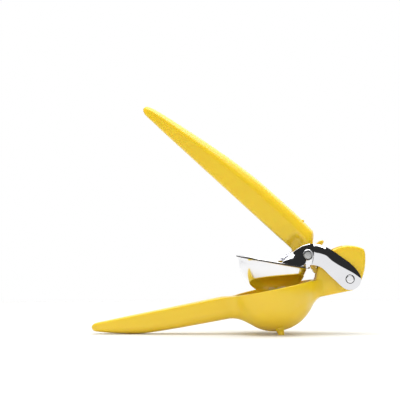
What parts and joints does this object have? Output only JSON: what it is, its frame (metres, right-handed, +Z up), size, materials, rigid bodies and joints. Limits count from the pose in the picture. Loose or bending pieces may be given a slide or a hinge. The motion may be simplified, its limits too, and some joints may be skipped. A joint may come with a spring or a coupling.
{
  "type": "citrus press juicer",
  "caption": "Two-handle geared citrus press: slotted bowl on a long handle, steel press cup on two swinging arms and an upper handle geared to the bowl.",
  "frame": {"origin": "centre of the bounding box, on the table surface that the feet and the lower handle rest on", "axes": "+X from the handle tips towards the hinge, +Z up from the table, +Y to the left when looking from the handles to the hinge; both hinge pins lie along Y"},
  "size_m": [0.2741, 0.084, 0.2271],
  "materials": {
    "yellow_nylon": "satin moulded nylon",
    "polished_steel": "mirror-polished stainless steel",
    "white_acetal": "satin"
  },
  "bodies": {
    "base": {"juice_bowl": "yellow_nylon", "rear_block": "yellow_nylon", "lower_handle": "yellow_nylon", "lower_handle_cover": "yellow_nylon", "fixed_gear": "yellow_nylon", "lower_pivot_bush": "white_acetal"},
    "press": {"press_cup": "polished_steel", "right_press_arm": "polished_steel", "left_press_arm": "polished_steel", "lower_pivot_pin": "polished_steel", "lower_pivot_cap": "polished_steel", "right_lower_washer": "white_acetal", "left_lower_washer": "white_acetal", "upper_pivot_pin": "polished_steel", "upper_pivot_cap": "polished_steel", "right_upper_washer": "white_acetal", "left_upper_washer": "white_acetal"},
    "handle": {"upper_handle": "yellow_nylon", "upper_handle_cover": "yellow_nylon", "drive_gear": "yellow_nylon", "upper_pivot_bush": "white_acetal"}
  },
  "joints": [
    {"name": "press_pivot", "type": "hinge", "parent": "base", "child": "press", "pos_m": [0.12041, 0, 0.05534], "axis": [0, 1, 0], "range_deg": [-21, 25]},
    {"name": "handle_pivot", "type": "hinge", "parent": "press", "child": "handle", "pos_m": [0.07871, 0, 0.07911], "axis": [0, 1, 0], "range_deg": [-33, 39.3]}
  ],
  "couplings": [
    {"joint": "handle_pivot", "follows": "press_pivot", "ratio": 1.5714}
  ]
}
